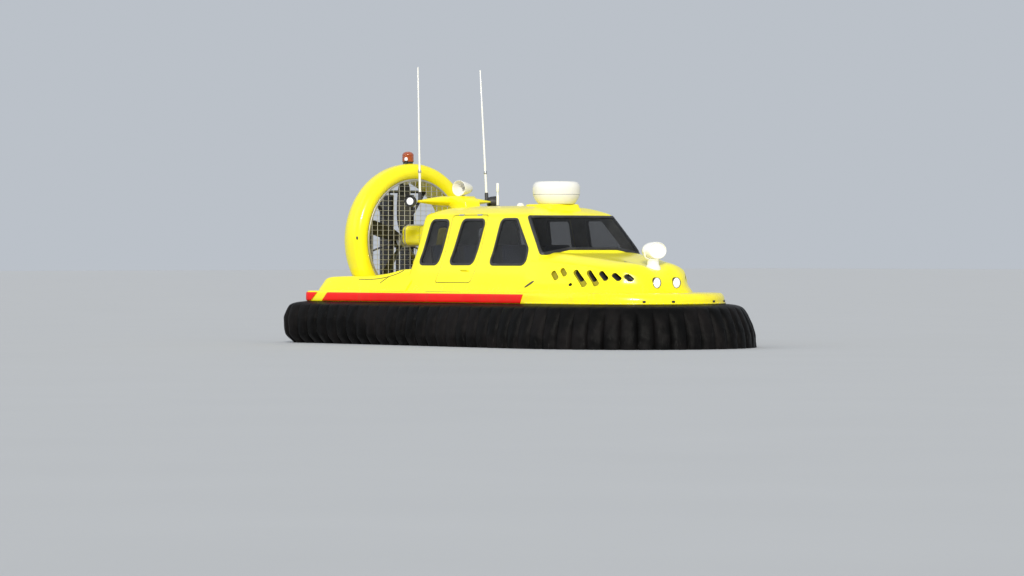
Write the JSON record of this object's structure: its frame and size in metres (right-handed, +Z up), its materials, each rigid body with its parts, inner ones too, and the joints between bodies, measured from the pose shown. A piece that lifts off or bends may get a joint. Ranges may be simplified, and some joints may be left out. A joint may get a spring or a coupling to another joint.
{
  "type": "amphibious rescue hovercraft",
  "caption": "Light enclosed-cabin rescue hovercraft with a ducted propeller, air rudders, lift fan, gull-wing doors, opening hood and a pleated skirt.",
  "frame": {"origin": "on the ground under the middle of the whole craft's box", "axes": "+X towards the bow, +Y to port, +Z up"},
  "size_m": [7.484, 3.5304, 3.8964],
  "materials": {
    "yellow_paint": "gloss yellow gel coat",
    "red_strip": "gloss red",
    "skirt_fabric": "matt black coated fabric",
    "white_plastic": "gloss white",
    "tinted_glass": "dark tint",
    "black_trim": "matt black",
    "bare_metal": "satin",
    "seat_cover": "dark blue",
    "amber_lens": "clear amber",
    "engine_casting": "dull grey"
  },
  "bodies": {
    "craft": {"cabin_shell": "yellow_paint", "hull": "yellow_paint", "deck_moulding": "yellow_paint", "thrust_duct": "yellow_paint", "nacelle": "yellow_paint", "engine_cover": "yellow_paint", "roof_crossbar": "yellow_paint", "radar_platform": "yellow_paint", "strake_stern": "red_strip", "strake_port": "red_strip", "strake_starboard": "red_strip", "skirt_stern": "skirt_fabric", "skirt_port": "skirt_fabric", "skirt_starboard": "skirt_fabric", "skirt_bow": "skirt_fabric", "hailer": "white_plastic", "whip_antenna_port": "white_plastic", "whip_antenna_starboard": "white_plastic", "radome": "white_plastic", "roof_rod_antenna": "white_plastic", "roof_dome_antenna": "white_plastic", "searchlight_post": "white_plastic", "windscreen": "tinted_glass", "side_window_rear_port": "tinted_glass", "side_window_front_port": "tinted_glass", "rear_window_port": "tinted_glass", "side_window_rear_starboard": "tinted_glass", "side_window_front_starboard": "tinted_glass", "rear_window_starboard": "tinted_glass", "stators": "black_trim", "dashboard": "black_trim", "crossbar_lamp_port": "black_trim", "crossbar_lamp_starboard": "black_trim", "nose_lamp_port": "black_trim", "nose_lamp_starboard": "black_trim", "landing_skid_port": "bare_metal", "landing_skid_starboard": "bare_metal", "propeller_guard": "bare_metal", "front_seat_port": "seat_cover", "front_seat_starboard": "seat_cover", "middle_bench": "seat_cover", "rear_bench": "seat_cover", "duct_beacon": "amber_lens", "engine_block": "engine_casting"},
    "propeller": {"propeller": "black_trim"},
    "lift_fan": {"lift_fan": "black_trim"},
    "rudder_centre": {"rudder_centre": "black_trim"},
    "rudder_port": {"rudder_port": "black_trim"},
    "rudder_starboard": {"rudder_starboard": "black_trim"},
    "door_port": {"door_port": "yellow_paint", "door_window_port": "tinted_glass"},
    "door_starboard": {"door_starboard": "yellow_paint", "door_window_starboard": "tinted_glass"},
    "hood": {"hood": "yellow_paint"},
    "bow_searchlight": {"bow_searchlight": "white_plastic"},
    "steering_wheel": {"steering_wheel": "black_trim"}
  },
  "joints": [
    {"name": "propeller_spin", "type": "hinge", "parent": "craft", "child": "propeller", "pos_m": [-2.79, 0, 1.46], "axis": [1, 0, 0], "continuous": true},
    {"name": "lift_fan_spin", "type": "hinge", "parent": "craft", "child": "lift_fan", "pos_m": [1.95, 0, 0.5], "axis": [0, 0, 1], "continuous": true},
    {"name": "rudder_centre_turn", "type": "hinge", "parent": "craft", "child": "rudder_centre", "pos_m": [-3.12, 0, 1.46], "axis": [0, 0, 1], "range_deg": [-30, 30]},
    {"name": "rudder_port_turn", "type": "hinge", "parent": "craft", "child": "rudder_port", "pos_m": [-3.12, 0.38, 1.46], "axis": [0, 0, 1], "range_deg": [-30, 30]},
    {"name": "rudder_starboard_turn", "type": "hinge", "parent": "craft", "child": "rudder_starboard", "pos_m": [-3.12, -0.38, 1.46], "axis": [0, 0, 1], "range_deg": [-30, 30]},
    {"name": "steering_wheel_turn", "type": "hinge", "parent": "craft", "child": "steering_wheel", "pos_m": [1.012, -0.395, 1.075], "axis": [-0.8821, 0, 0.4711], "range_deg": [-60, 60]},
    {"name": "door_port_lift", "type": "hinge", "parent": "craft", "child": "door_port", "pos_m": [-0.415, 0.754, 1.8], "axis": [1, 0, 0], "range_deg": [0, 75]},
    {"name": "door_starboard_lift", "type": "hinge", "parent": "craft", "child": "door_starboard", "pos_m": [-0.415, -0.754, 1.8], "axis": [-1, 0, 0], "range_deg": [0, 75]},
    {"name": "hood_lift", "type": "hinge", "parent": "craft", "child": "hood", "pos_m": [1.455, 0, 1.273], "axis": [0, -1, 0], "range_deg": [0, 55]},
    {"name": "bow_searchlight_pan", "type": "hinge", "parent": "craft", "child": "bow_searchlight", "pos_m": [2.47, 0, 1.3], "axis": [0, 0, 1], "range_deg": [-170, 170]}
  ],
  "couplings": [
    {"joint": "rudder_port_turn", "follows": "rudder_centre_turn", "ratio": 1},
    {"joint": "rudder_starboard_turn", "follows": "rudder_centre_turn", "ratio": 1},
    {"joint": "steering_wheel_turn", "follows": "rudder_centre_turn", "ratio": -2}
  ]
}
